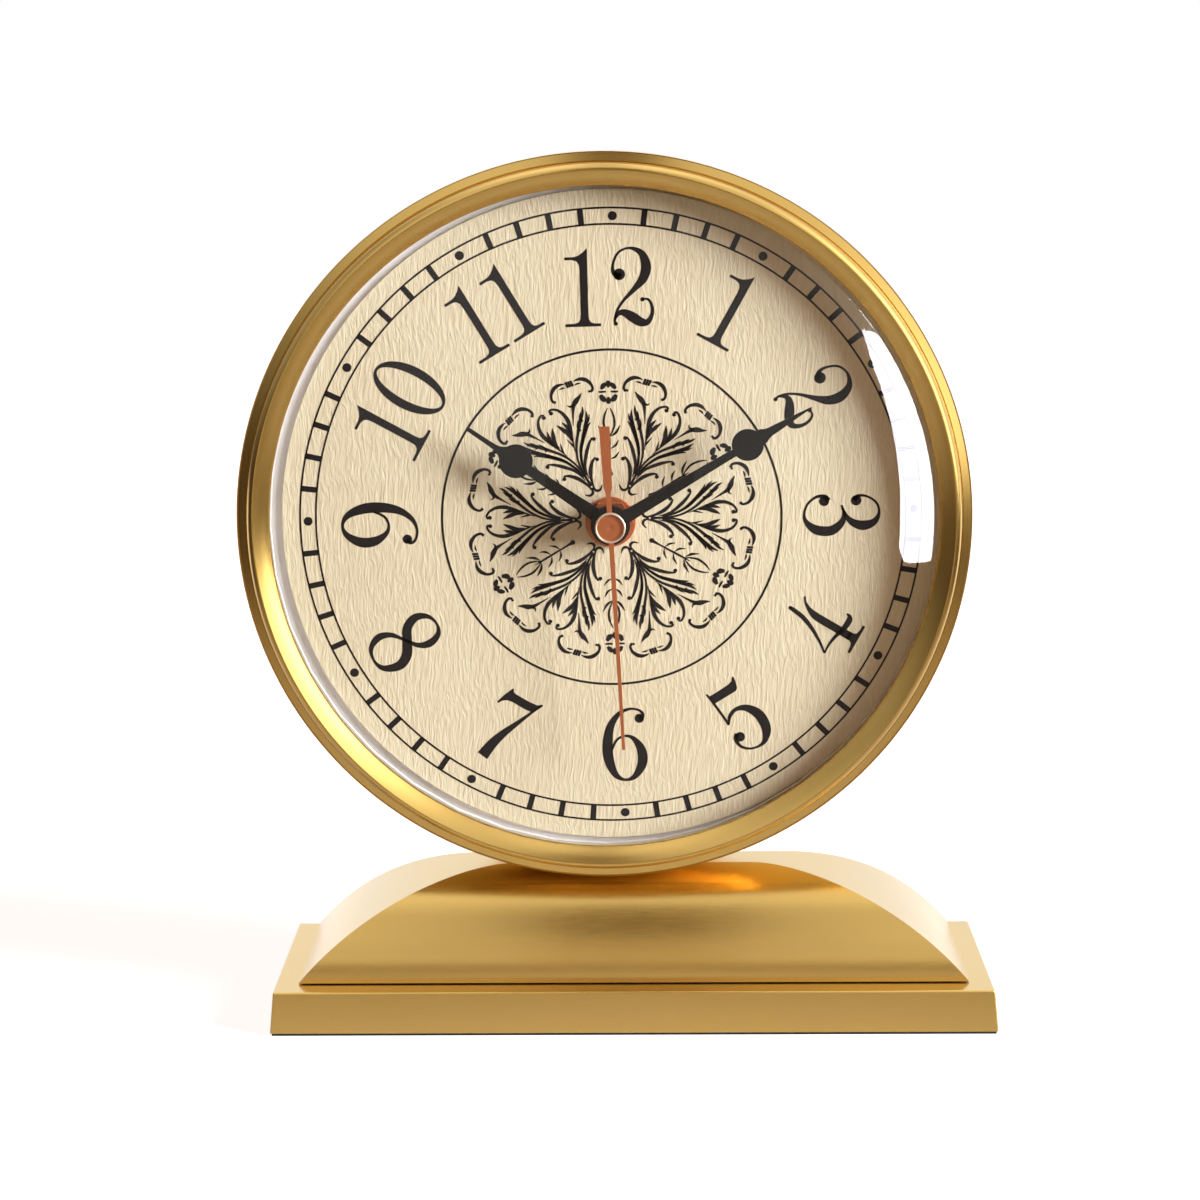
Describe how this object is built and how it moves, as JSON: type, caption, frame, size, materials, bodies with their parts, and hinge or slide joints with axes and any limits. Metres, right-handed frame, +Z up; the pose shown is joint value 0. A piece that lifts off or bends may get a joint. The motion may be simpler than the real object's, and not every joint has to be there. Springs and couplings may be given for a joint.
{
  "type": "desk clock",
  "caption": "Desk clock with a round brass drum on an arched block and plinth, a cream dial with upright numerals, spade hands and a quartz movement.",
  "frame": {"origin": "centre of the base's underside", "axes": "+Z up, +X to the right seen from the front, the dial faces -Y"},
  "size_m": [0.1879, 0.055, 0.2172],
  "materials": {
    "satin_brass": "brushed satin",
    "plain_brass": "plain turned",
    "copper_finish": "copper-coloured satin",
    "copper_wire": "enamelled wire",
    "black_metal": "black satin",
    "steel": "plain",
    "magnet_steel": "dark plain",
    "clear_lens": "clear polished",
    "white_board": "matt",
    "cream_card": "printed, fine vertical grain",
    "black_plastic": "fine spark texture",
    "white_plastic": "smooth moulded",
    "black_rubber": "matt",
    "black_felt": "felt",
    "cell_skin": null,
    "green_board": "lacquered"
  },
  "bodies": {
    "clock_body": {"base_pad": "black_felt", "plinth": "satin_brass", "arch_block": "satin_brass", "base_screw_1": "steel", "base_screw_2": "steel", "drum_screw_1": "steel", "drum_screw_2": "steel", "drum_case": "satin_brass", "nut_plate": "steel", "bezel": "satin_brass", "lens": "clear_lens", "lens_gasket": "white_plastic", "dial_board": "white_board", "dial_plate": "cream_card", "rear_cover": "black_plastic", "rear_cover_screw_1": "steel", "rear_cover_screw_2": "steel", "rear_cover_screw_3": "steel", "rear_cover_screw_4": "steel", "movement_housing": "black_plastic", "movement_lid": "black_plastic", "rubber_washer": "black_rubber", "dial_washer": "copper_finish", "bush_nut": "copper_finish", "cell": "cell_skin", "contact_positive": "steel", "contact_negative": "steel", "stator": "steel", "coil_core": "steel", "coil": "copper_wire", "circuit_board": "green_board", "quartz_crystal": "steel"},
    "minute_work": {"minute_hand": "black_metal", "minute_pipe": "plain_brass"},
    "hour_work": {"hour_hand": "black_metal", "hour_wheel": "white_plastic"},
    "motion_work": {"motion_wheel": "white_plastic"},
    "setting_work": {"setting_arbor": "white_plastic", "setting_knob": "black_plastic"},
    "second_work": {"second_hand": "copper_finish", "second_cap": "copper_finish", "seconds_wheel": "white_plastic"},
    "intermediate_work": {"intermediate_wheel": "white_plastic"},
    "rotor_work": {"rotor": "magnet_steel"},
    "third_work": {"third_wheel": "white_plastic"},
    "centre_work": {"centre_wheel": "plain_brass"}
  },
  "joints": [
    {"name": "minute_turn", "type": "hinge", "parent": "clock_body", "child": "minute_work", "pos_m": [-0.005, -0.0142, 0.1269], "axis": [0, 1, 0], "continuous": true},
    {"name": "hour_turn", "type": "hinge", "parent": "clock_body", "child": "hour_work", "pos_m": [-0.005, -0.0126, 0.1269], "axis": [0, 1, 0], "continuous": true},
    {"name": "motion_turn", "type": "hinge", "parent": "clock_body", "child": "motion_work", "pos_m": [-0.005, -0.001, 0.1365], "axis": [0, 1, 0], "continuous": true},
    {"name": "setting_turn", "type": "hinge", "parent": "clock_body", "child": "setting_work", "pos_m": [-0.005, 0.0127, 0.1461], "axis": [0, 1, 0], "continuous": true},
    {"name": "second_turn", "type": "hinge", "parent": "clock_body", "child": "second_work", "pos_m": [-0.005, -0.0157, 0.1269], "axis": [0, 1, 0], "continuous": true},
    {"name": "intermediate_turn", "type": "hinge", "parent": "clock_body", "child": "intermediate_work", "pos_m": [0.0047, 0.006, 0.1325], "axis": [0, 1, 0], "continuous": true},
    {"name": "rotor_turn", "type": "hinge", "parent": "clock_body", "child": "rotor_work", "pos_m": [0.00606, 0.006, 0.14022], "axis": [0, 1, 0], "continuous": true},
    {"name": "third_turn", "type": "hinge", "parent": "clock_body", "child": "third_work", "pos_m": [-0.01435, 0.004, 0.1323], "axis": [0, 1, 0], "continuous": true},
    {"name": "centre_turn", "type": "hinge", "parent": "clock_body", "child": "centre_work", "pos_m": [-0.005, 0.0016, 0.1269], "axis": [0, 1, 0], "continuous": true}
  ],
  "couplings": [
    {"joint": "hour_turn", "follows": "minute_turn", "ratio": 0.083333},
    {"joint": "motion_turn", "follows": "minute_turn", "ratio": -0.33333},
    {"joint": "setting_turn", "follows": "minute_turn", "ratio": 1},
    {"joint": "intermediate_turn", "follows": "second_turn", "ratio": -5},
    {"joint": "rotor_turn", "follows": "second_turn", "ratio": 30},
    {"joint": "third_turn", "follows": "second_turn", "ratio": -0.125},
    {"joint": "centre_turn", "follows": "second_turn", "ratio": 0.016667}
  ]
}
